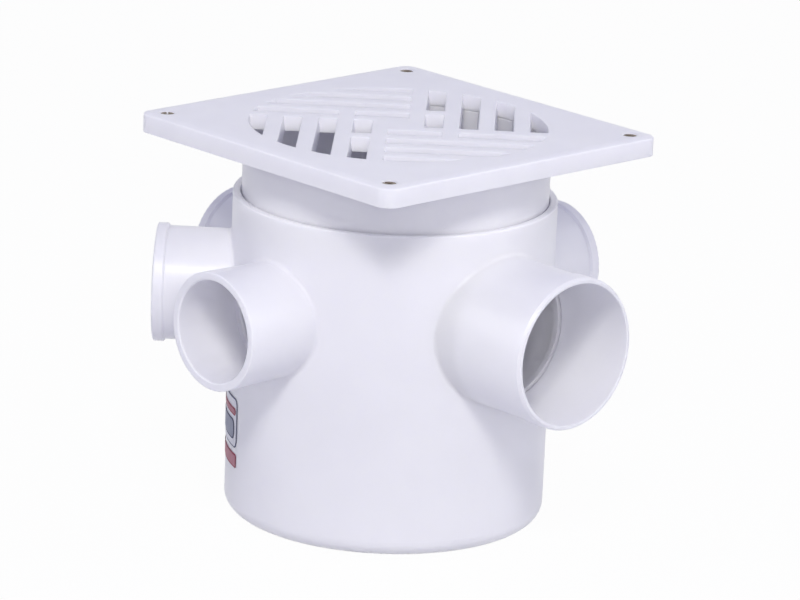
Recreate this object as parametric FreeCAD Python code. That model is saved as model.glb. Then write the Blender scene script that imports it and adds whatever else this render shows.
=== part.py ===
import FreeCAD, Part
import math
import os

os.makedirs("parts", exist_ok=True)

V = FreeCAD.Vector
ORIGIN = V(0, 0, 0)
UP = V(0, 0, 1)
TINY = 1e-4

# Trap body, millimetres. Origin at the centre of the base, +X along the outlet, +Z up.
BODY_RIM_R = 80.0
BODY_DRAFT = 0.3
BODY_RIM_Z = 162.0
BODY_WALL = 5.3
RIM_WALL = 4.0
BODY_BASE_CORNER = 8.0
RIM_OUTER_ROUND = 0.7
RIM_INNER_ROUND = 0.6
FLOOR_THICKNESS = 4.0
CHAMBER_CORNER = 5.0
SEAT_DEPTH = 14.0

# Riser neck and its running gap in the body's rim.
NECK_GAP = 0.3
NECK_WALL = 3.0
NECK_SHOWN = 25.9
NECK_LEAD = 0.4
NECK_ROOT_ROUND = 1.5

# Sockets round the body, all on one height.
SOCKET_BELOW_RIM = 50.8
INLET_ANGLES_BEADED = (90.0, 135.0, 180.0, 225.0)
INLET_ANGLE_PLAIN = 270.0
PIPE_R = 25.0
PIPE_GAP = 0.15
INLET_DEPTH = 36.8
INLET_WALL = 3.05
STOP_WIDTH = 3.5
PLAIN_MOUTH_RISE = 1.0
BEAD_RISE = 1.2
BEAD_LEN = 6.0
BEAD_BACK_CHAMFER = 1.0
BEAD_ROUND = 0.8
MOUTH_CHAMFER = 0.6
SOCKET_ROOT_R = 2.0
PORT_ROUND = 0.8
ROOT_DEPTH = 12.0
BORE_RUN_OUT = 1.0

# Outlet branch: a 75 mm spigot with a slightly proud end band.
OUTLET_R = 37.5
OUTLET_BAND_RISE = 0.7
OUTLET_BAND_LEN = 11.0
OUTLET_LEN = 48.9
OUTLET_LEAD_LEN = 1.6
OUTLET_LEAD_DROP = 1.0
OUTLET_WALL = 2.55
OUTLET_BORE_LEAD = 0.25

# Siphon elbow inside the body.
ELBOW_GAP = 0.5
ELBOW_WALL = 2.0
ELBOW_REACH = 4.5
ELBOW_SPIGOT_LEN = 10.5
ELBOW_BEND_OVER = 1.4
ELBOW_ABOVE_FLOOR = 24.0
SEAL_FROM_END = 4.7
SEAL_WIDTH = 2.2
SEAL_CROWN = 1.0
SEAL_SHOULDER = 0.1
SEAL_GROOVE_DEPTH = 0.9

# Square flange on top of the neck, inside the grating's skirt.
FLANGE_THICKNESS = 2.3
FLANGE_GAP = 0.3
NECK_TOP_CHAMFER = 1.0

# Skirted square grating, and its shallow bevelled border.
GRATING_OVERHANG = 14.8
GRATING_CORNER_R = 7.0
GRATING_THICKNESS = 7.3
SKIRT_WALL = 3.0
BORDER_WIDTH = 4.2
BORDER_DROP = 0.4
GRATING_EDGE_ROUND = 0.8
SLOT_RING_OVER_BORE = 0.8
SLOTS_PER_QUARTER = 4
SLOT_ROWS_IN_RING = 4.25
SLOT_SHARE_OF_PITCH = 0.5435
SLOT_DRAFT = 0.9
SLOT_EDGE = 0.25
QUARTERS = 4
PATTERN_TURN = 45.0

# Countersunk cover screws.
SCREW_INSET = 10.3
SCREW_SHANK_R = 1.75
SCREW_CLEARANCE = 0.35
SINK_DEPTH = 1.9
SCREW_HEAD_DEPTH = 0.6
SCREW_BITE = 0.7
SCREW_POINT = 0.8
SCREW_TIP_GAP = 0.3
SCREW_SLOT_WIDTH = 0.9
SCREW_SLOT_DEPTH = 0.9
SCREW_SLOT_ANGLES = (20.0, 75.0, 140.0, 5.0)
BOSS_WALL = 2.15
BOSS_FLOOR = 0.8

# Sizes that follow from those above.
BODY_BASE_R = BODY_RIM_R - BODY_DRAFT
CHAMBER_R = BODY_BASE_R - BODY_WALL
NECK_SEAT_Z = BODY_RIM_Z - SEAT_DEPTH
RIM_BORE_R = BODY_RIM_R - RIM_WALL
NECK_R = RIM_BORE_R - NECK_GAP
NECK_BORE_R = NECK_R - NECK_WALL
SOCKET_Z = BODY_RIM_Z - SOCKET_BELOW_RIM
INLET_STOP_D = BODY_RIM_R
INLET_MOUTH_D = INLET_STOP_D + INLET_DEPTH
INLET_BORE_R = PIPE_R + PIPE_GAP
INLET_PORT_R = PIPE_R - STOP_WIDTH
INLET_BARREL_R = INLET_BORE_R + INLET_WALL
INLET_PLAIN_MOUTH_R = INLET_BARREL_R + PLAIN_MOUTH_RISE
BEAD_R = INLET_BARREL_R + BEAD_RISE
OUTLET_BARREL_R = OUTLET_R - OUTLET_BAND_RISE
OUTLET_BORE_R = OUTLET_R - OUTLET_WALL
OUTLET_MOUTH_D = BODY_RIM_R + OUTLET_LEN
BRANCH_START_D = CHAMBER_R - ROOT_DEPTH
OUTLET_START_D = math.sqrt(CHAMBER_R ** 2 - OUTLET_R ** 2) - ROOT_DEPTH
ELBOW_R = OUTLET_BORE_R - ELBOW_GAP
ELBOW_BORE_R = ELBOW_R - ELBOW_WALL
ELBOW_BEND_R = ELBOW_R + ELBOW_BEND_OVER
ELBOW_END_D = BODY_RIM_R + ELBOW_REACH
ELBOW_BEND_X = ELBOW_END_D - ELBOW_SPIGOT_LEN
ELBOW_LEG_X = ELBOW_BEND_X - ELBOW_BEND_R
ELBOW_BEND_Z = SOCKET_Z - ELBOW_BEND_R
ELBOW_MOUTH_Z = FLOOR_THICKNESS + ELBOW_ABOVE_FLOOR
SEAL_MID_D = ELBOW_END_D - SEAL_FROM_END
GRATING_HALF = NECK_R + GRATING_OVERHANG
RECESS_HALF = GRATING_HALF - SKIRT_WALL
RECESS_CORNER_R = GRATING_CORNER_R - SKIRT_WALL
FLANGE_HALF = RECESS_HALF - FLANGE_GAP
FLANGE_CORNER_R = RECESS_CORNER_R - FLANGE_GAP
FLANGE_UNDERSIDE_Z = BODY_RIM_Z + NECK_SHOWN
FLANGE_TOP_Z = FLANGE_UNDERSIDE_Z + FLANGE_THICKNESS
TOP_Z = FLANGE_TOP_Z + GRATING_THICKNESS
SLOT_RING_R = NECK_BORE_R + SLOT_RING_OVER_BORE
SLOT_PITCH = SLOT_RING_R / SLOT_ROWS_IN_RING
SLOT_WIDTH = SLOT_PITCH * SLOT_SHARE_OF_PITCH
SCREW_AT = GRATING_HALF - SCREW_INSET
SCREW_HOLE_R = SCREW_SHANK_R + SCREW_CLEARANCE
SINK_TOP_R = SCREW_HOLE_R + SINK_DEPTH
SCREW_HEAD_R = SINK_TOP_R - SCREW_HEAD_DEPTH
SCREW_HEAD_Z = TOP_Z - SCREW_HEAD_DEPTH
SCREW_TIP_Z = FLANGE_UNDERSIDE_Z - SCREW_BITE
PILOT_Z = SCREW_TIP_Z - SCREW_TIP_GAP
BOSS_Z = PILOT_Z - BOSS_FLOOR
BOSS_R = SCREW_SHANK_R + BOSS_WALL
CORNERS = ((SCREW_AT, SCREW_AT), (-SCREW_AT, SCREW_AT), (-SCREW_AT, -SCREW_AT), (SCREW_AT, -SCREW_AT))


def revolve_profile(points, base=ORIGIN, axis=UP):
    """Solid of revolution from a closed polygon of (radius, height) points about +Z."""
    wire = Part.makePolygon([V(r, 0, z) for r, z in points] + [V(points[0][0], 0, points[0][1])])
    return Part.Face(wire).revolve(base, axis, 360)


def along_x(points):
    """Solid of revolution about +X from (distance, radius) points, centred on the socket height."""
    wire = Part.makePolygon([V(d, 0, r) for d, r in points] + [V(points[0][0], 0, points[0][1])])
    solid = Part.Face(wire).revolve(ORIGIN, V(1, 0, 0), 360)
    solid.translate(V(0, 0, SOCKET_Z))
    return solid


def turned(shape, angle):
    copy = shape.copy()
    copy.rotate(ORIGIN, UP, angle)
    return copy


def rounded_square(half, corner, z0, z1):
    block = Part.makeBox(2 * half, 2 * half, z1 - z0, V(-half, -half, z0))
    edges = [e for e in block.Edges if abs(e.tangentAt(e.FirstParameter).z) > 0.99]
    return block.makeFillet(corner, edges)


def edges_at_height(shape, z, accept=None):
    found = []
    for edge in shape.Edges:
        box = edge.BoundBox
        if abs(box.ZMin - z) < TINY and abs(box.ZMax - z) < TINY:
            if accept is None or accept(edge):
                found.append(edge)
    return found


def edge_reach(edge):
    """How far the edge reaches from the middle along X or Y."""
    box = edge.BoundBox
    return max(abs(box.XMin), abs(box.XMax), abs(box.YMin), abs(box.YMax))


def circle_edges(shape, radius, along=None):
    """Full-circle edges of one radius, at one distance along +X when that is given."""
    found = []
    for edge in shape.Edges:
        curve = edge.Curve
        if not isinstance(curve, Part.Circle) or abs(curve.Radius - radius) > TINY:
            continue
        if along is None or abs(curve.Center.x - along) < TINY:
            found.append(edge)
    return found


def body_shell():
    outer = revolve_profile([
        (0, 0),
        (BODY_BASE_R, 0),
        (BODY_RIM_R, BODY_RIM_Z),
        (0, BODY_RIM_Z),
    ])
    outer = outer.makeFillet(BODY_BASE_CORNER, edges_at_height(outer, 0))
    return outer.makeFillet(RIM_OUTER_ROUND, edges_at_height(outer, BODY_RIM_Z))


def body_cavity():
    chamber = revolve_profile([
        (0, FLOOR_THICKNESS),
        (CHAMBER_R, FLOOR_THICKNESS),
        (CHAMBER_R, NECK_SEAT_Z),
        (0, NECK_SEAT_Z),
    ])
    chamber = chamber.makeFillet(CHAMBER_CORNER, edges_at_height(chamber, FLOOR_THICKNESS))
    rim = revolve_profile([
        (0, NECK_SEAT_Z),
        (RIM_BORE_R, NECK_SEAT_Z),
        (RIM_BORE_R, BODY_RIM_Z - RIM_INNER_ROUND),
        (RIM_BORE_R + RIM_INNER_ROUND, BODY_RIM_Z),
        (0, BODY_RIM_Z),
    ])
    return chamber.fuse(rim)


def beaded_barrel():
    barrel = along_x([
        (BRANCH_START_D, 0),
        (BRANCH_START_D, INLET_BARREL_R),
        (INLET_MOUTH_D - BEAD_LEN, INLET_BARREL_R),
        (INLET_MOUTH_D - BEAD_LEN + BEAD_BACK_CHAMFER, BEAD_R),
        (INLET_MOUTH_D, BEAD_R),
        (INLET_MOUTH_D, 0),
    ])
    return barrel.makeFillet(BEAD_ROUND, circle_edges(barrel, BEAD_R, INLET_MOUTH_D))


def plain_barrel():
    barrel = along_x([
        (BRANCH_START_D, 0),
        (BRANCH_START_D, INLET_BARREL_R),
        (CHAMBER_R, INLET_BARREL_R),
        (INLET_MOUTH_D, INLET_PLAIN_MOUTH_R),
        (INLET_MOUTH_D, 0),
    ])
    return barrel.makeFillet(MOUTH_CHAMFER, circle_edges(barrel, INLET_PLAIN_MOUTH_R, INLET_MOUTH_D))


def inlet_cutter():
    return along_x([
        (BRANCH_START_D - BORE_RUN_OUT, 0),
        (BRANCH_START_D - BORE_RUN_OUT, INLET_PORT_R),
        (INLET_STOP_D - PORT_ROUND, INLET_PORT_R),
        (INLET_STOP_D, INLET_PORT_R + PORT_ROUND),
        (INLET_STOP_D, INLET_BORE_R),
        (INLET_MOUTH_D - MOUTH_CHAMFER, INLET_BORE_R),
        (INLET_MOUTH_D, INLET_BORE_R + MOUTH_CHAMFER),
        (INLET_MOUTH_D + BORE_RUN_OUT, INLET_BORE_R + MOUTH_CHAMFER),
        (INLET_MOUTH_D + BORE_RUN_OUT, 0),
    ])


def outlet_barrel():
    band_start = OUTLET_MOUTH_D - OUTLET_BAND_LEN
    step = OUTLET_R - OUTLET_BARREL_R
    return along_x([
        (OUTLET_START_D, 0),
        (OUTLET_START_D, OUTLET_BARREL_R),
        (band_start - step, OUTLET_BARREL_R),
        (band_start, OUTLET_R),
        (OUTLET_MOUTH_D - OUTLET_LEAD_LEN, OUTLET_R),
        (OUTLET_MOUTH_D, OUTLET_R - OUTLET_LEAD_DROP),
        (OUTLET_MOUTH_D, 0),
    ])


def outlet_cutter():
    return along_x([
        (OUTLET_START_D - BORE_RUN_OUT, 0),
        (OUTLET_START_D - BORE_RUN_OUT, OUTLET_BORE_R),
        (OUTLET_MOUTH_D - OUTLET_BORE_LEAD, OUTLET_BORE_R),
        (OUTLET_MOUTH_D, OUTLET_BORE_R + OUTLET_BORE_LEAD),
        (OUTLET_MOUTH_D + BORE_RUN_OUT, OUTLET_BORE_R + OUTLET_BORE_LEAD),
        (OUTLET_MOUTH_D + BORE_RUN_OUT, 0),
    ])


def root_edges(shape):
    """Edges where a branch leaves the pot's outer wall: neither straight nor plane circles."""
    found = []
    for edge in shape.Edges:
        if isinstance(edge.Curve, (Part.Circle, Part.Line)):
            continue
        mid = edge.valueAt((edge.FirstParameter + edge.LastParameter) / 2)
        reach = math.hypot(mid.x, mid.y)
        if BODY_BASE_R - TINY < reach < BODY_RIM_R + TINY and edge.BoundBox.ZMax < SOCKET_Z + OUTLET_R:
            found.append(edge)
    return found


def make_trap_body():
    solid = body_shell()
    inlet = beaded_barrel()
    for angle in INLET_ANGLES_BEADED:
        solid = solid.fuse(turned(inlet, angle))
    solid = solid.fuse(turned(plain_barrel(), INLET_ANGLE_PLAIN))
    solid = solid.fuse(outlet_barrel())
    solid = solid.makeFillet(SOCKET_ROOT_R, root_edges(solid))
    solid = solid.cut(body_cavity())
    bore = inlet_cutter()
    for angle in INLET_ANGLES_BEADED + (INLET_ANGLE_PLAIN,):
        solid = solid.cut(turned(bore, angle))
    return solid.cut(outlet_cutter())


def bent_run(radius, run_out):
    """Round bar along the elbow's line, from the outlet side down to the mouth."""
    end_d = ELBOW_END_D + run_out
    mouth_z = ELBOW_MOUTH_Z - run_out
    spigot = Part.makeCylinder(radius, end_d - ELBOW_BEND_X, V(ELBOW_BEND_X, 0, SOCKET_Z), V(1, 0, 0))
    leg = Part.makeCylinder(radius, ELBOW_BEND_Z - mouth_z, V(ELBOW_LEG_X, 0, mouth_z), UP)
    ring = Part.Face(Part.Wire(Part.makeCircle(radius, V(ELBOW_BEND_X, 0, SOCKET_Z), V(1, 0, 0))))
    bend = ring.revolve(V(ELBOW_BEND_X, 0, ELBOW_BEND_Z), V(0, -1, 0), 90)
    return spigot.fuse(bend).fuse(leg)


def make_siphon_elbow():
    elbow = bent_run(ELBOW_R, 0).cut(bent_run(ELBOW_BORE_R, BORE_RUN_OUT)).removeSplitter()
    groove = along_x([
        (SEAL_MID_D - SEAL_WIDTH / 2, ELBOW_R - SEAL_GROOVE_DEPTH),
        (SEAL_MID_D - SEAL_WIDTH / 2, ELBOW_R + BORE_RUN_OUT),
        (SEAL_MID_D + SEAL_WIDTH / 2, ELBOW_R + BORE_RUN_OUT),
        (SEAL_MID_D + SEAL_WIDTH / 2, ELBOW_R - SEAL_GROOVE_DEPTH),
    ])
    return elbow.cut(groove)


def make_elbow_seal():
    """Rubber ring that fills the groove and closes on the outlet's bore."""
    inner = ELBOW_R - SEAL_GROOVE_DEPTH
    shoulder = ELBOW_R - SEAL_SHOULDER
    return along_x([
        (SEAL_MID_D - SEAL_WIDTH / 2, inner),
        (SEAL_MID_D - SEAL_WIDTH / 2, shoulder),
        (SEAL_MID_D - SEAL_CROWN / 2, OUTLET_BORE_R),
        (SEAL_MID_D + SEAL_CROWN / 2, OUTLET_BORE_R),
        (SEAL_MID_D + SEAL_WIDTH / 2, shoulder),
        (SEAL_MID_D + SEAL_WIDTH / 2, inner),
    ])


def make_riser_frame():
    """Round neck under a square flange, with a blind boss for the screw in each corner."""
    flange = rounded_square(FLANGE_HALF, FLANGE_CORNER_R, FLANGE_UNDERSIDE_Z, FLANGE_TOP_Z)
    neck = revolve_profile([
        (0, NECK_SEAT_Z),
        (NECK_R - NECK_LEAD, NECK_SEAT_Z),
        (NECK_R, NECK_SEAT_Z + NECK_LEAD),
        (NECK_R, FLANGE_TOP_Z),
        (0, FLANGE_TOP_Z),
    ])
    frame = flange.fuse(neck)
    root = [e for e in circle_edges(frame, NECK_R) if abs(e.BoundBox.ZMin - FLANGE_UNDERSIDE_Z) < TINY]
    frame = frame.makeFillet(NECK_ROOT_ROUND, root)
    bore = revolve_profile([
        (0, NECK_SEAT_Z - BORE_RUN_OUT),
        (NECK_BORE_R, NECK_SEAT_Z - BORE_RUN_OUT),
        (NECK_BORE_R, FLANGE_TOP_Z - NECK_TOP_CHAMFER),
        (NECK_BORE_R + NECK_TOP_CHAMFER, FLANGE_TOP_Z),
        (NECK_BORE_R + NECK_TOP_CHAMFER, FLANGE_TOP_Z + BORE_RUN_OUT),
        (0, FLANGE_TOP_Z + BORE_RUN_OUT),
    ])
    for x, y in CORNERS:
        frame = frame.fuse(Part.makeCylinder(BOSS_R, FLANGE_TOP_Z - BOSS_Z, V(x, y, BOSS_Z)))
    frame = frame.cut(bore)
    for x, y in CORNERS:
        pilot = Part.makeCylinder(SCREW_SHANK_R, FLANGE_TOP_Z + BORE_RUN_OUT - PILOT_Z, V(x, y, PILOT_Z))
        frame = frame.cut(pilot)
    return frame.removeSplitter()


def slot_levels():
    """Heights just under and just over the plate, each with its inset from the slot's size on top."""
    slope = SLOT_DRAFT / GRATING_THICKNESS
    low = (FLANGE_TOP_Z - BORE_RUN_OUT, SLOT_DRAFT + slope * BORE_RUN_OUT)
    high = (TOP_Z + BORE_RUN_OUT, -slope * BORE_RUN_OUT)
    return low, high


def tapered_slot(x0, x1, y0, y1):
    """Cutter for one slot that narrows downwards by the moulding draft."""
    wires = []
    for z, inset in slot_levels():
        near, far = x0 + inset, x1 - inset
        left, right = y0 + inset, y1 - inset
        corners = [V(near, left, z), V(far, left, z), V(far, right, z), V(near, right, z), V(near, left, z)]
        wires.append(Part.makePolygon(corners))
    return Part.makeLoft(wires, True, True)


def quarter_slots():
    """Slots of one quarter before the ring trims them; the slot next to the hub has a cross bar."""
    half = SLOT_WIDTH / 2
    bar_from = SLOT_PITCH + half
    bar_to = 2 * SLOT_PITCH - half
    slots = []
    for k in range(1, SLOTS_PER_QUARTER + 1):
        x0 = -k * SLOT_PITCH - half
        x1 = -k * SLOT_PITCH + half
        if k == 1:
            slots.append(tapered_slot(x0, x1, -bar_from, half))
            slots.append(tapered_slot(x0, x1, -SLOT_RING_R, -bar_to))
        else:
            slots.append(tapered_slot(x0, x1, -SLOT_RING_R, half))
    return slots


def slot_cutters():
    """Every slot of the pinwheel: one quarter's slots, trimmed to the ring and turned about the middle."""
    (low_z, low_inset), (high_z, high_inset) = slot_levels()
    ring = Part.makeCone(SLOT_RING_R - low_inset, SLOT_RING_R - high_inset, high_z - low_z, V(0, 0, low_z))
    trimmed = [slot.common(ring) for slot in quarter_slots()]
    cutters = []
    for quarter in range(QUARTERS):
        angle = quarter * 360.0 / QUARTERS + PATTERN_TURN
        cutters.extend(turned(slot, angle) for slot in trimmed)
    return Part.makeCompound(cutters)


def bevelled_plate():
    """Square plate with round corners whose top falls a little towards its edges."""
    border_z = TOP_Z - BORDER_DROP
    plate = rounded_square(GRATING_HALF, GRATING_CORNER_R, FLANGE_UNDERSIDE_Z, border_z)
    plate = plate.makeFillet(GRATING_EDGE_ROUND, edges_at_height(plate, border_z))
    inset = GRATING_EDGE_ROUND
    outer = rounded_square(GRATING_HALF - inset, GRATING_CORNER_R - inset, border_z, TOP_Z)
    inner = rounded_square(GRATING_HALF - BORDER_WIDTH, GRATING_CORNER_R - BORDER_WIDTH, border_z, TOP_Z)
    low_wire = [f for f in outer.Faces if abs(f.BoundBox.ZMax - border_z) < TINY][0].OuterWire
    top_wire = [f for f in inner.Faces if abs(f.BoundBox.ZMin - TOP_Z) < TINY][0].OuterWire
    return plate.fuse(Part.makeLoft([low_wire, top_wire], True, True))


def make_grating():
    plate = bevelled_plate()
    slot_cut = plate.cut(slot_cutters())
    rims = edges_at_height(slot_cut, TOP_Z, lambda e: edge_reach(e) < SLOT_RING_R + TINY)
    plate = slot_cut.makeChamfer(SLOT_EDGE, rims)
    recess = rounded_square(RECESS_HALF, RECESS_CORNER_R, FLANGE_UNDERSIDE_Z - BORE_RUN_OUT, FLANGE_TOP_Z)
    plate = plate.cut(recess)
    sink = revolve_profile([
        (0, FLANGE_TOP_Z - BORE_RUN_OUT),
        (SCREW_HOLE_R, FLANGE_TOP_Z - BORE_RUN_OUT),
        (SCREW_HOLE_R, TOP_Z - SINK_TOP_R + SCREW_HOLE_R),
        (SINK_TOP_R, TOP_Z),
        (SINK_TOP_R, TOP_Z + BORE_RUN_OUT),
        (0, TOP_Z + BORE_RUN_OUT),
    ])
    for x, y in CORNERS:
        hole = sink.copy()
        hole.translate(V(x, y, 0))
        plate = plate.cut(hole)
    return plate


def make_cover_screws():
    """Four countersunk screws whose heads seat in the grating's countersinks."""
    shank = revolve_profile([
        (0, SCREW_TIP_Z),
        (SCREW_SHANK_R - SCREW_POINT, SCREW_TIP_Z),
        (SCREW_SHANK_R, SCREW_TIP_Z + SCREW_POINT),
        (SCREW_SHANK_R, SCREW_HEAD_Z - SCREW_HEAD_R + SCREW_SHANK_R),
        (SCREW_HEAD_R, SCREW_HEAD_Z),
        (0, SCREW_HEAD_Z),
    ])
    slot = Part.makeBox(
        2 * (SCREW_HEAD_R + BORE_RUN_OUT),
        SCREW_SLOT_WIDTH,
        SCREW_SLOT_DEPTH + BORE_RUN_OUT,
        V(-SCREW_HEAD_R - BORE_RUN_OUT, -SCREW_SLOT_WIDTH / 2, SCREW_HEAD_Z - SCREW_SLOT_DEPTH),
    )
    screws = []
    for (x, y), angle in zip(CORNERS, SCREW_SLOT_ANGLES):
        screw = shank.cut(turned(slot, angle))
        screw.translate(V(x, y, 0))
        screws.append(screw)
    return Part.makeCompound(screws)


NODES = {
    "trap_body": make_trap_body,
    "siphon_elbow": make_siphon_elbow,
    "elbow_seal": make_elbow_seal,
    "riser_frame": make_riser_frame,
    "grating": make_grating,
    "cover_screws": make_cover_screws,
}

for name, make in NODES.items():
    shape = make()
    if shape.ShapeType == "Compound" and len(shape.Solids) == 1:
        shape = shape.Solids[0]
    shape.exportStep("parts/" + name + ".step")
    print(name, "solids", len(shape.Solids), "valid", shape.isValid(), "cm3", round(shape.Volume / 1000, 2))
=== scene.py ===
import bpy
import math
from mathutils import Matrix, Vector


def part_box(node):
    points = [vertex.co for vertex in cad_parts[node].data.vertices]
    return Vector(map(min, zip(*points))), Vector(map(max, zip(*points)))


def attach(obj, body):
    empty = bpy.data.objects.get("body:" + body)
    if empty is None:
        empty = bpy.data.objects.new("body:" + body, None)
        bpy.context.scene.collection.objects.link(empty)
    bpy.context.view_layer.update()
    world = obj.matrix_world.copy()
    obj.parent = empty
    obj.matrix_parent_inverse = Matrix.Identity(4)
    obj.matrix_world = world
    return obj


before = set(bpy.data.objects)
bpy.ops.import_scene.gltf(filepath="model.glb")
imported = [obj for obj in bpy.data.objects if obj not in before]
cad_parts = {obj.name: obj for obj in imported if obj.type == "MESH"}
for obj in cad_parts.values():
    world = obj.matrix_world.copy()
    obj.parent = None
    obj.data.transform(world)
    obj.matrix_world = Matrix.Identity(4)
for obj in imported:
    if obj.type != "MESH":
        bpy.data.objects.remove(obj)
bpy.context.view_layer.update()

# Camera: the photograph's viewing angle and framing. Angles in degrees, lengths in metres.
IMAGE_WIDTH_PX = 800
SENSOR_MM = 36.0
FOCAL_PX = 4588.8
VIEW_AZIMUTH = 46.468
VIEW_ELEVATION = 16.224
VIEW_ROLL = 2.389
VIEW_DISTANCE = 2.2723
AIM_HEIGHT = 0.10743
AIM_ASIDE = 0.00437
CLIP_NEAR = 0.05
CLIP_FAR = 60.0

# Patterns: the part of a noise's range that is spread out, and the detail and roughness of a fine noise.
NOISE_LOW = 0.3
NOISE_HIGH = 0.7
FINE = (4.0, 0.6)

# Tints of the lamps and of the white that the camera sees. All colours are linear values.
WHITE = (1.0, 1.0, 1.0)
WARM = (1.0, 0.99, 0.955)

# White plastic. The glow depth is how far light spreads inside it, in metres, for red, green and blue.
PVC_COLOUR = (0.865, 0.86, 0.90)
PVC_SHADE = (0.848, 0.842, 0.884)
PVC_ROUGHNESS = (0.29, 0.36)
PVC_REFRACTION = 1.5
PVC_GLOW_SHARE = 0.6
PVC_GLOW_DEPTH = (0.006, 0.006, 0.0065)
MOTTLE_SCALE = 26.0
MOTTLE_DETAIL = 2.0
SATIN_SCALE = 75.0

# Plastic pieces: node, material, and a shift in the scale of its patterns.
PVC_PIECES = (
    ("trap_body", "pvc_body", 0),
    ("siphon_elbow", "pvc_elbow", 5),
    ("riser_frame", "pvc_riser", 9),
    ("grating", "pvc_grating", 14),
)

# Brass screws. A relief is the strength and the depth in metres.
# Both brass colours are darkened past bare brass: painted shade standing in for the dark reflections of the
# heads in their holes, over random tarnish patches.
BRASS_SHADED = (0.21, 0.155, 0.09)
BRASS_TARNISH_SHADED = (0.03, 0.023, 0.015)
BRASS_ROUGHNESS = (0.42, 0.28)
TARNISH_SCALE = 700.0
TARNISH_STOPS = (0.3, 0.55)
TURNING_SCALE = 1100.0
TURNING_WOBBLE = 0.6
TURNING_RELIEF = (0.25, 0.0001)
SCREW_HEAD_RADIUS = 0.0034

# Rubber seal.
RUBBER_COLOUR = (0.022, 0.022, 0.024)
RUBBER_BLOOM = (0.05, 0.05, 0.052)
RUBBER_ROUGHNESS = (0.55, 0.72)
BLOOM_SCALE = 140.0
GRAIN_SCALE = 1500.0
GRAIN_RELIEF = (0.1, 0.0002)

# Inks of the label: colour, and a shift in the scale of the wear. A worn ink keeps a share and gains a haze.
INKS = {
    "white": ((0.80, 0.80, 0.84), 0),
    "red": ((0.30, 0.035, 0.075), 7),
    "pink": ((0.44, 0.17, 0.22), 9),
    "navy": ((0.04, 0.045, 0.11), 11),
    "grey": ((0.28, 0.30, 0.39), 12),
    "line": ((0.10, 0.11, 0.20), 13),
}
INK_KEPT = 0.9
INK_HAZE = 0.05
INK_ROUGHNESS = (0.40, 0.50)
INK_SPECULAR = 0.15
WEAR_SCALE = 160.0
WEAR_STOPS = (0.3, 0.5)

# Label: a plain sticker on the drafted pot, under the socket at 225 degrees. Degrees and metres.
POT_BASE_RADIUS = 0.0797
POT_RIM_RADIUS = 0.080
POT_RIM_HEIGHT = 0.162
LABEL_LEFT = 204.0
LABEL_RIGHT = 250.0
LABEL_LIFT = 0.00012
LABEL_RULE = 0.0008
LABEL_STEPS = 64

# Fields of the label: name, inset from the sides, heights, layer, corner radius, inks of rule and fill.
LABEL_FIELDS = (
    ("label_panel", 0.0, (0.0367, 0.0622), 1, 0.0035, "line", "white"),
    ("label_field", 0.0016, (0.0533, 0.0572), 3, 0.0012, "red", "pink"),
    ("label_shape", 0.0030, (0.0406, 0.0512), 3, 0.0035, "navy", "grey"),
    ("label_strip", 0.0, (0.0267, 0.0339), 1, 0.0008, "red", "pink"),
)

# Floor and surround.
FLOOR_REACH = 12.0
FLOOR_TONES = ((0.68, 0.68, 0.71), (0.70, 0.70, 0.73))
FLOOR_TONE_SCALE = 3.0
FLOOR_ROUGHNESS = 0.9
FLOOR_WHITE_SHARE = 0.97
HORIZON = (0.10, 0.102, 0.135)
ZENITH = (0.265, 0.27, 0.46)

# Lamps: name, degrees round from the camera, elevation, distance, size, watts, height aimed at, tint.
LAMPS = (
    ("key", -1, 41.5, 2.0, 0.4, 19.2, 0.12, WARM),
    ("front", 3, 18, 2.4, 0.6, 9.2, 0.1, WARM),
    ("left", -92, 24, 1.8, 1.2, 5.6, 0.1, WHITE),
    ("right", 92, 24, 1.8, 1.8, 11.4, 0.1, WHITE),
)


def material(name):
    """A node material; returns it with its tree and its shader."""
    made = bpy.data.materials.new(name)
    made.use_nodes = True
    tree = made.node_tree
    return made, tree, tree.nodes["Principled BSDF"]


def node(tree, kind, **values):
    """A new node with its properties and, by socket name, its input values."""
    made = tree.nodes.new(kind)
    for key, value in values.items():
        if key in made.inputs:
            made.inputs[key].default_value = value
        else:
            setattr(made, key, value)
    return made


def on_piece(tree):
    """Coordinates that stay with the piece."""
    return tree.nodes.new("ShaderNodeTexCoord").outputs["Object"]


def noise(tree, vector, scale, detail=3.0, roughness=0.5):
    """A noise value at a vector."""
    made = node(tree, "ShaderNodeTexNoise", Scale=scale, Detail=detail, Roughness=roughness)
    tree.links.new(vector, made.inputs["Vector"])
    return made.outputs["Fac"]


def ramp(tree, value, low, high, stops=(0.35, 0.65)):
    """A two-colour ramp of a 0 to 1 value."""
    made = tree.nodes.new("ShaderNodeValToRGB")
    for element, stop, colour in zip(made.color_ramp.elements, stops, (low, high)):
        element.position = stop
        element.color = (*colour, 1.0)
    tree.links.new(value, made.inputs["Fac"])
    return made.outputs["Color"]


def span(tree, value, low, high):
    """A noise value spread from low to high."""
    made = node(tree, "ShaderNodeMapRange", **{"To Min": low, "To Max": high})
    made.inputs["From Min"].default_value = NOISE_LOW
    made.inputs["From Max"].default_value = NOISE_HIGH
    tree.links.new(value, made.inputs["Value"])
    return made.outputs["Result"]


def bump(tree, height, strength, distance):
    """A normal that follows a height."""
    made = node(tree, "ShaderNodeBump", Strength=strength, Distance=distance)
    tree.links.new(height, made.inputs["Height"])
    return made.outputs["Normal"]


def vector_math(tree, operation, first, second=None):
    """A vector operation on a socket and, where it takes two, a fixed vector."""
    made = node(tree, "ShaderNodeVectorMath", operation=operation)
    tree.links.new(first, made.inputs[0])
    if second is not None:
        made.inputs[1].default_value = second
    return made.outputs["Vector"]


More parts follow.
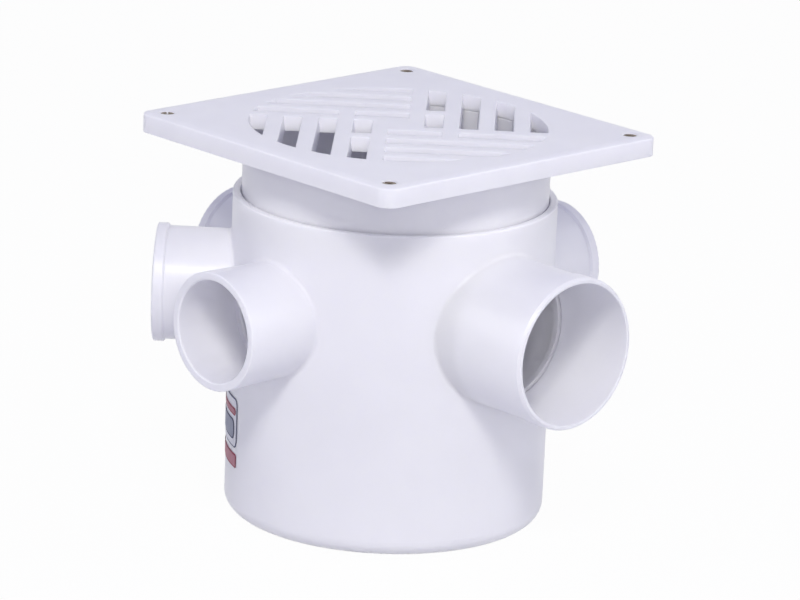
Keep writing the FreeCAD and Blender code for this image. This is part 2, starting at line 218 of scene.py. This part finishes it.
def moulded_pvc(name, shift):
    """Satin white moulding: faint mottle, a gloss that changes a little, and light let in under the skin."""
    made, tree, shader = material(name)
    place = on_piece(tree)
    mottle = noise(tree, place, MOTTLE_SCALE + shift, MOTTLE_DETAIL)
    tree.links.new(ramp(tree, mottle, PVC_SHADE, PVC_COLOUR), shader.inputs["Base Color"])
    patches = noise(tree, place, SATIN_SCALE + shift, *FINE)
    tree.links.new(span(tree, patches, *PVC_ROUGHNESS), shader.inputs["Roughness"])
    shader.inputs["IOR"].default_value = PVC_REFRACTION
    shader.inputs["Subsurface Weight"].default_value = PVC_GLOW_SHARE
    shader.inputs["Subsurface Radius"].default_value = PVC_GLOW_DEPTH
    shader.inputs["Subsurface Scale"].default_value = 1.0
    return made


def turned_brass(name):
    """Brass darkened overall by painted shade for the heads sitting dark in their holes, with turning marks
    round each corner screw and darker tarnish in patches.
    """
    made, tree, shader = material(name)
    place = on_piece(tree)
    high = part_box("cover_screws")[1]
    corner = (high.x - SCREW_HEAD_RADIUS, high.y - SCREW_HEAD_RADIUS, 0.0)
    folded = vector_math(tree, "ABSOLUTE", place)
    centred = vector_math(tree, "SUBTRACT", folded, corner)
    flat = vector_math(tree, "MULTIPLY", centred, (1.0, 1.0, 0.0))
    rings = node(tree, "ShaderNodeTexWave", wave_type="RINGS", rings_direction="Z")
    rings.inputs["Scale"].default_value = TURNING_SCALE
    rings.inputs["Distortion"].default_value = TURNING_WOBBLE
    tree.links.new(flat, rings.inputs["Vector"])
    tarnish = noise(tree, place, TARNISH_SCALE, *FINE)
    tree.links.new(ramp(tree, tarnish, BRASS_TARNISH_SHADED, BRASS_SHADED, TARNISH_STOPS), shader.inputs["Base Color"])
    tree.links.new(span(tree, tarnish, *BRASS_ROUGHNESS), shader.inputs["Roughness"])
    tree.links.new(bump(tree, rings.outputs["Fac"], *TURNING_RELIEF), shader.inputs["Normal"])
    shader.inputs["Metallic"].default_value = 1.0
    return made


def seal_rubber(name):
    """Black rubber with a pale bloom and a fine grain."""
    made, tree, shader = material(name)
    place = on_piece(tree)
    bloom = noise(tree, place, BLOOM_SCALE, *FINE)
    tree.links.new(ramp(tree, bloom, RUBBER_COLOUR, RUBBER_BLOOM), shader.inputs["Base Color"])
    tree.links.new(span(tree, bloom, *RUBBER_ROUGHNESS), shader.inputs["Roughness"])
    grain = noise(tree, place, GRAIN_SCALE)
    tree.links.new(bump(tree, grain, *GRAIN_RELIEF), shader.inputs["Normal"])
    return made


def printed(name, colour, shift):
    """One flat ink or the bare film of the sticker, with a little wear and gloss change."""
    made, tree, shader = material(name)
    worn = noise(tree, on_piece(tree), WEAR_SCALE + shift, *FINE)
    faded = tuple(min(1.0, INK_KEPT * value + INK_HAZE) for value in colour)
    tree.links.new(ramp(tree, worn, faded, colour, WEAR_STOPS), shader.inputs["Base Color"])
    tree.links.new(span(tree, worn, *INK_ROUGHNESS), shader.inputs["Roughness"])
    shader.inputs["Specular IOR Level"].default_value = INK_SPECULAR
    return made


def dress(name, made):
    """The CAD node keeps its mesh and takes this material in every slot."""
    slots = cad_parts[name].data.materials
    for index in range(len(slots)):
        slots[index] = made
    if not len(slots):
        slots.append(made)


def pot_radius(height):
    """Outer radius of the pot at a height."""
    return POT_BASE_RADIUS + (POT_RIM_RADIUS - POT_BASE_RADIUS) * height / POT_RIM_HEIGHT


def patch(name, inset, heights, layer, corner, made):
    """A thin curved patch of the label, in by an inset from the label's sides, with round corners."""
    low, high = heights
    radius = pot_radius((low + high) / 2)
    left = math.radians(LABEL_LEFT) + inset / radius
    right = math.radians(LABEL_RIGHT) - inset / radius
    points = []
    for step in range(LABEL_STEPS + 1):
        along = step / LABEL_STEPS
        angle = left + (right - left) * along
        away = min(along, 1 - along) * (right - left) * radius
        trim = 0.0
        if away < corner:
            trim = corner - math.sqrt(max(0.0, corner ** 2 - (corner - away) ** 2))
        for height in (low + trim, high - trim):
            reach = pot_radius(height) + layer * LABEL_LIFT
            points.append((reach * math.cos(angle), reach * math.sin(angle), height))
    faces = [(start, start + 2, start + 3, start + 1) for start in range(0, 2 * LABEL_STEPS, 2)]
    mesh = bpy.data.meshes.new(name)
    mesh.from_pydata(points, [], faces)
    mesh.materials.append(made)
    for face in mesh.polygons:
        face.use_smooth = True
    piece = bpy.data.objects.new(name, mesh)
    bpy.context.collection.objects.link(piece)
    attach(piece, "trap")


def ruled_patch(name, inset, heights, layer, corner, line, fill):
    """A filled patch inside a thin rule."""
    low, high = heights
    inner = (low + LABEL_RULE, high - LABEL_RULE)
    patch(name + "_rule", inset, heights, layer, corner, line)
    patch(name, inset + LABEL_RULE, inner, layer + 1, max(0.0, corner - LABEL_RULE), fill)


def make_label():
    """Blank sticker: a ruled white panel with a red field and a dark shape, over a red strip."""
    inks = {ink: printed("label_" + ink, colour, shift) for ink, (colour, shift) in INKS.items()}
    for *outline, line, fill in LABEL_FIELDS:
        ruled_patch(*outline, inks[line], inks[fill])


def white_to_camera(tree):
    """1 for camera, glossy and transmission rays, else 0."""
    path = tree.nodes.new("ShaderNodeLightPath")
    value = path.outputs["Is Camera Ray"]
    for ray in ("Is Glossy Ray", "Is Transmission Ray"):
        either = node(tree, "ShaderNodeMath", operation="MAXIMUM")
        tree.links.new(value, either.inputs[0])
        tree.links.new(path.outputs[ray], either.inputs[1])
        value = either.outputs["Value"]
    return value


def make_floor():
    """Pale floor that reads white and keeps a soft shadow."""
    mesh = bpy.data.meshes.new("floor")
    low, high = -FLOOR_REACH, FLOOR_REACH
    corners = [(low, low, 0), (high, low, 0), (high, high, 0), (low, high, 0)]
    mesh.from_pydata(corners, [], [(0, 1, 2, 3)])
    floor = bpy.data.objects.new("floor", mesh)
    bpy.context.collection.objects.link(floor)
    made, tree, shader = material("floor")
    tone = ramp(tree, noise(tree, on_piece(tree), FLOOR_TONE_SCALE), *FLOOR_TONES)
    tree.links.new(tone, shader.inputs["Base Color"])
    shader.inputs["Roughness"].default_value = FLOOR_ROUGHNESS
    glow = node(tree, "ShaderNodeEmission", Color=(*WHITE, 1.0), Strength=1.0)
    share = node(tree, "ShaderNodeMath", operation="MULTIPLY")
    share.inputs[1].default_value = FLOOR_WHITE_SHARE
    tree.links.new(white_to_camera(tree), share.inputs[0])
    blend = node(tree, "ShaderNodeMixShader")
    tree.links.new(share.outputs["Value"], blend.inputs["Fac"])
    tree.links.new(shader.outputs["BSDF"], blend.inputs[1])
    tree.links.new(glow.outputs["Emission"], blend.inputs[2])
    tree.links.new(blend.outputs["Shader"], tree.nodes["Material Output"].inputs["Surface"])
    mesh.materials.append(made)


def make_world():
    """Surround that grows lighter and bluer from the horizon up; the camera sees it as white."""
    world = bpy.data.worlds.new("studio")
    bpy.context.scene.world = world
    world.use_nodes = True
    tree = world.node_tree
    place = tree.nodes.new("ShaderNodeTexCoord")
    split = tree.nodes.new("ShaderNodeSeparateXYZ")
    tree.links.new(place.outputs["Generated"], split.inputs["Vector"])
    tone = node(tree, "ShaderNodeMix", data_type="RGBA")
    tree.links.new(split.outputs["Z"], tone.inputs["Factor"])
    tone.inputs["A"].default_value = (*HORIZON, 1.0)
    tone.inputs["B"].default_value = (*ZENITH, 1.0)
    seen = node(tree, "ShaderNodeMix", data_type="RGBA")
    tree.links.new(white_to_camera(tree), seen.inputs["Factor"])
    tree.links.new(tone.outputs["Result"], seen.inputs["A"])
    seen.inputs["B"].default_value = (*WHITE, 1.0)
    tree.links.new(seen.outputs["Result"], tree.nodes["Background"].inputs["Color"])


def direction(azimuth, elevation):
    """Unit vector from the object towards an azimuth and an elevation in degrees."""
    around, up = math.radians(azimuth), math.radians(elevation)
    return Vector((math.sin(around) * math.cos(up), -math.cos(around) * math.cos(up), math.sin(up)))


def area_light(name, azimuth, elevation, distance, size, watts, height, tint):
    """Square soft light aimed at a height on the object's axis."""
    back = direction(azimuth, elevation)
    lamp = bpy.data.lights.new(name, "AREA")
    lamp.shape = "SQUARE"
    lamp.size = size
    lamp.energy = watts
    lamp.color = tint
    holder = bpy.data.objects.new(name, lamp)
    holder.location = Vector((0, 0, height)) + back * distance
    holder.rotation_mode = "QUATERNION"
    holder.rotation_quaternion = (-back).to_track_quat("-Z", "Y")
    bpy.context.collection.objects.link(holder)


def make_camera():
    """Camera on the view's direction, rolled, and set a little aside of the object's axis."""
    back = direction(VIEW_AZIMUTH, VIEW_ELEVATION)
    around, roll = math.radians(VIEW_AZIMUTH), math.radians(VIEW_ROLL)
    right = Vector((math.cos(around), math.sin(around), 0.0))
    up = back.cross(right)
    across = right * math.cos(roll) + up * math.sin(roll)
    over = up * math.cos(roll) - right * math.sin(roll)
    place = Vector((0, 0, AIM_HEIGHT)) + across * AIM_ASIDE + back * VIEW_DISTANCE
    camera = bpy.data.objects.new("camera", bpy.data.cameras.new("camera"))
    camera.data.sensor_width = SENSOR_MM
    camera.data.lens = FOCAL_PX / IMAGE_WIDTH_PX * SENSOR_MM
    camera.data.clip_start = CLIP_NEAR
    camera.data.clip_end = CLIP_FAR
    turn = Matrix((across, over, back)).transposed()
    camera.matrix_world = Matrix.Translation(place) @ turn.to_4x4()
    bpy.context.collection.objects.link(camera)
    bpy.context.scene.camera = camera


bpy.context.scene.view_settings.view_transform = "Standard"
make_camera()
make_world()
make_floor()
for lamp_name, from_camera, *settings in LAMPS:
    area_light(lamp_name, VIEW_AZIMUTH + from_camera, *settings)

for piece_name, skin, pattern_shift in PVC_PIECES:
    dress(piece_name, moulded_pvc(skin, pattern_shift))
dress("cover_screws", turned_brass("brass_screws"))
dress("elbow_seal", seal_rubber("rubber_ring"))
make_label()
